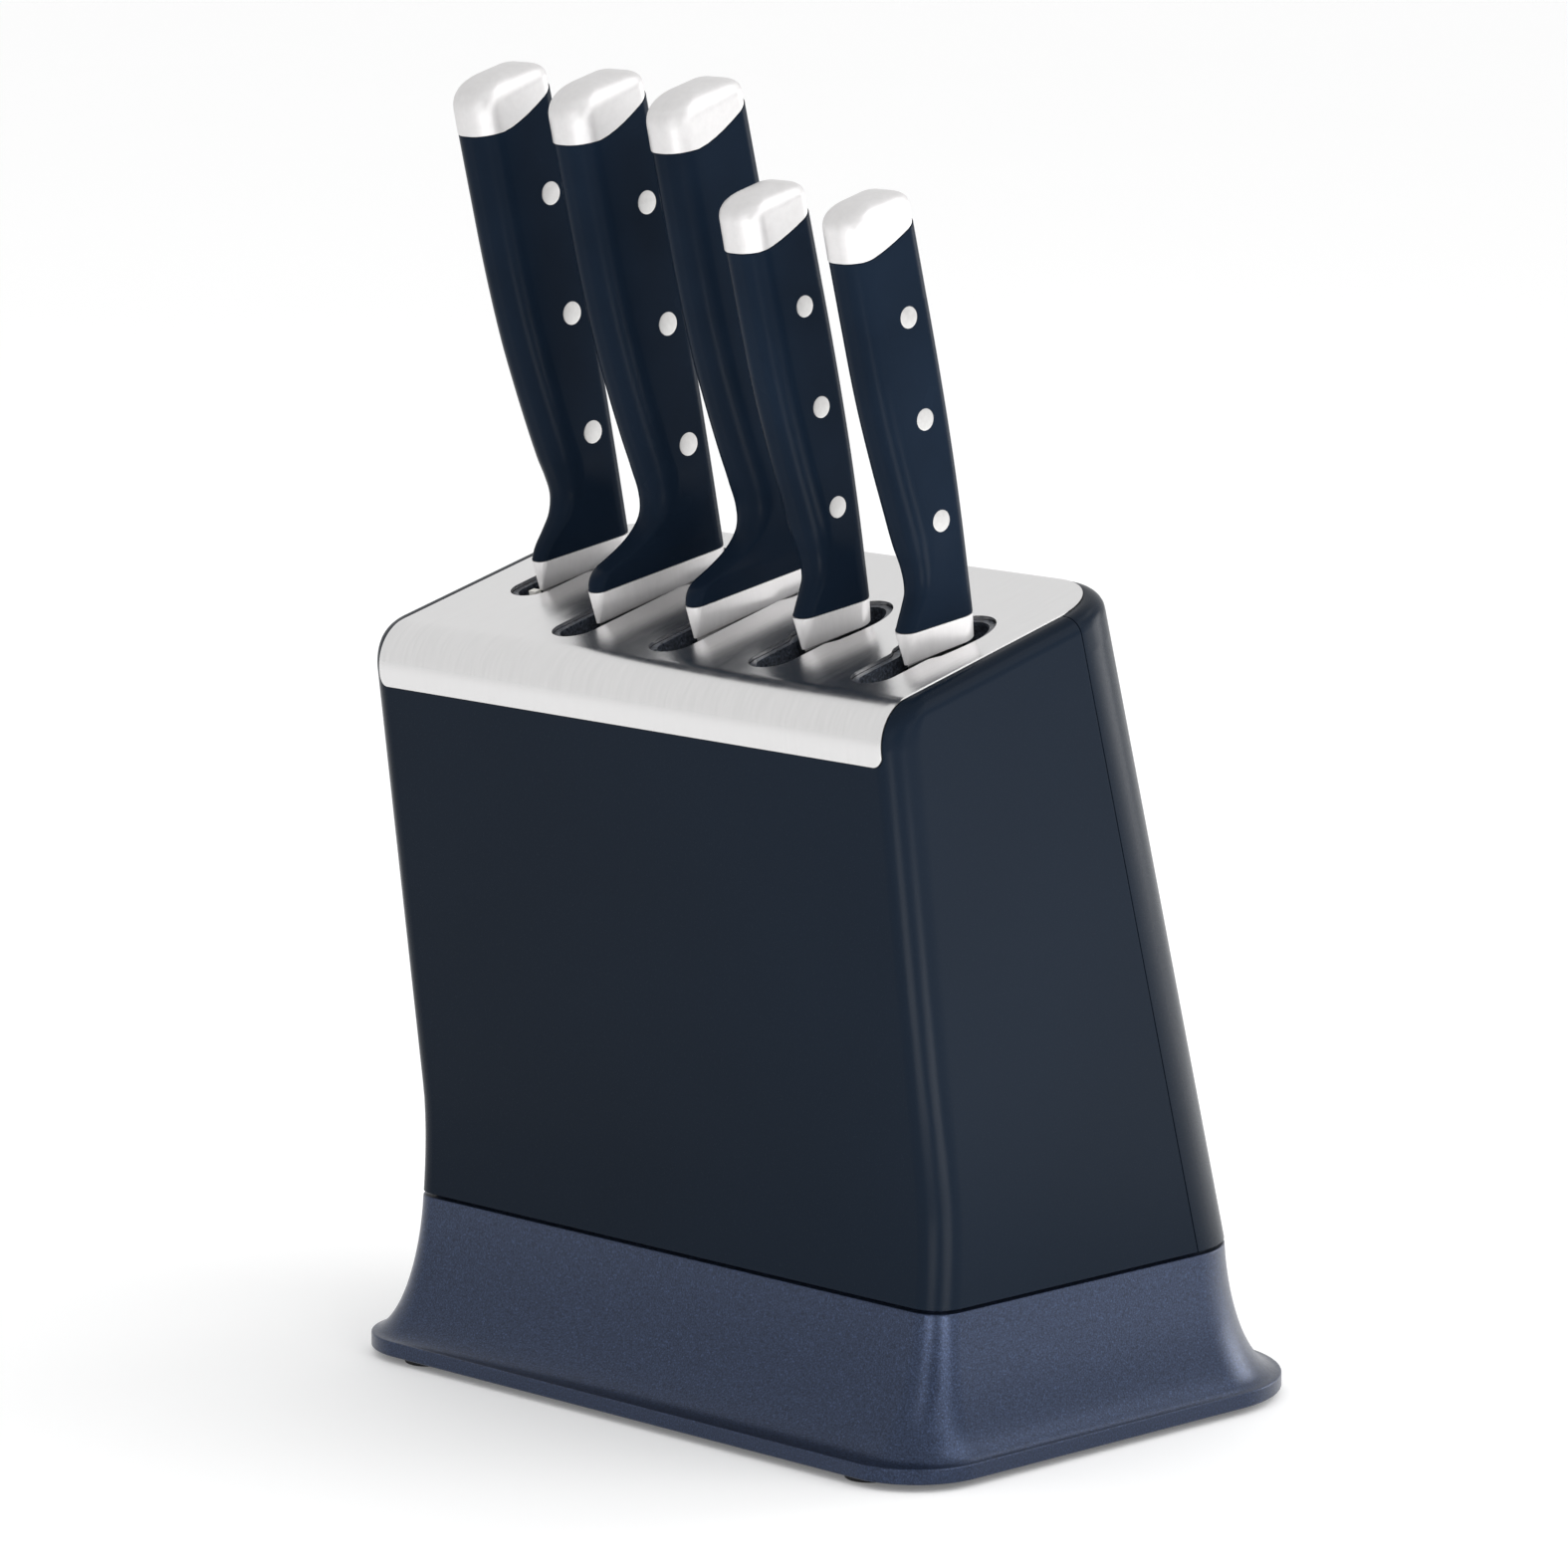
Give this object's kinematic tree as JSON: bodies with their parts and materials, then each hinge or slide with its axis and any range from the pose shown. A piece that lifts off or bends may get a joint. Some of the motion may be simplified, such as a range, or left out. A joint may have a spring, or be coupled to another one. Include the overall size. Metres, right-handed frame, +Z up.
{
  "type": "knife block with knives",
  "caption": "Slant-topped countertop knife block on a flared base, with riveted forged kitchen knives that lift out of their slots past built-in ceramic sharpeners",
  "frame": {"origin": "on the counter, at the centre of the flared base", "axes": "X along the row of slots, +Z up, -Y the front, the side that the knife handles lean towards"},
  "size_m": [0.22, 0.161, 0.3496],
  "materials": {
    "housing": "satin",
    "base_metal": "satin",
    "steel": "satin",
    "handle": "satin",
    "insert": "matte",
    "ceramic": "matte",
    "rubber": "matte"
  },
  "bodies": {
    "block": {"base_plinth": "base_metal", "bottom_cover": "insert", "foot_1": "rubber", "foot_2": "rubber", "foot_3": "rubber", "foot_4": "rubber", "base_screw_1": "steel", "base_screw_2": "steel", "base_screw_3": "steel", "base_screw_4": "steel", "front_shell": "housing", "rear_cover": "housing", "top_plate": "steel", "slot_frame": "insert", "blade_guide_1": "insert", "blade_guide_2": "insert", "blade_guide_3": "insert", "blade_guide_4": "insert", "blade_guide_5": "insert", "sharpener_1": "ceramic", "sharpener_2": "ceramic", "sharpener_3": "ceramic", "sharpener_4": "ceramic", "sharpener_5": "ceramic"},
    "bread_knife": {"bread_knife_blade": "steel", "bread_knife_handle": "handle", "bread_knife_end_cap": "steel", "bread_knife_rivet_1": "steel", "bread_knife_rivet_2": "steel", "bread_knife_rivet_3": "steel"},
    "santoku_knife": {"santoku_knife_blade": "steel", "santoku_knife_handle": "handle", "santoku_knife_end_cap": "steel", "santoku_knife_rivet_1": "steel", "santoku_knife_rivet_2": "steel", "santoku_knife_rivet_3": "steel"},
    "chef_knife": {"chef_knife_blade": "steel", "chef_knife_handle": "handle", "chef_knife_end_cap": "steel", "chef_knife_rivet_1": "steel", "chef_knife_rivet_2": "steel", "chef_knife_rivet_3": "steel"},
    "utility_knife": {"utility_knife_blade": "steel", "utility_knife_handle": "handle", "utility_knife_end_cap": "steel", "utility_knife_rivet_1": "steel", "utility_knife_rivet_2": "steel", "utility_knife_rivet_3": "steel"},
    "paring_knife": {"paring_knife_blade": "steel", "paring_knife_handle": "handle", "paring_knife_end_cap": "steel", "paring_knife_rivet_1": "steel", "paring_knife_rivet_2": "steel", "paring_knife_rivet_3": "steel"}
  },
  "joints": [
    {"name": "bread_knife_lift", "type": "slide", "parent": "block", "child": "bread_knife", "axis": [0, -0.2238, 0.9746], "range_m": [0, 0.215]},
    {"name": "santoku_knife_lift", "type": "slide", "parent": "block", "child": "santoku_knife", "axis": [0, -0.2238, 0.9746], "range_m": [0, 0.193]},
    {"name": "chef_knife_lift", "type": "slide", "parent": "block", "child": "chef_knife", "axis": [0, -0.2238, 0.9746], "range_m": [0, 0.215]},
    {"name": "utility_knife_lift", "type": "slide", "parent": "block", "child": "utility_knife", "axis": [0, -0.2238, 0.9746], "range_m": [0, 0.155]},
    {"name": "paring_knife_lift", "type": "slide", "parent": "block", "child": "paring_knife", "axis": [0, -0.2238, 0.9746], "range_m": [0, 0.105]}
  ]
}
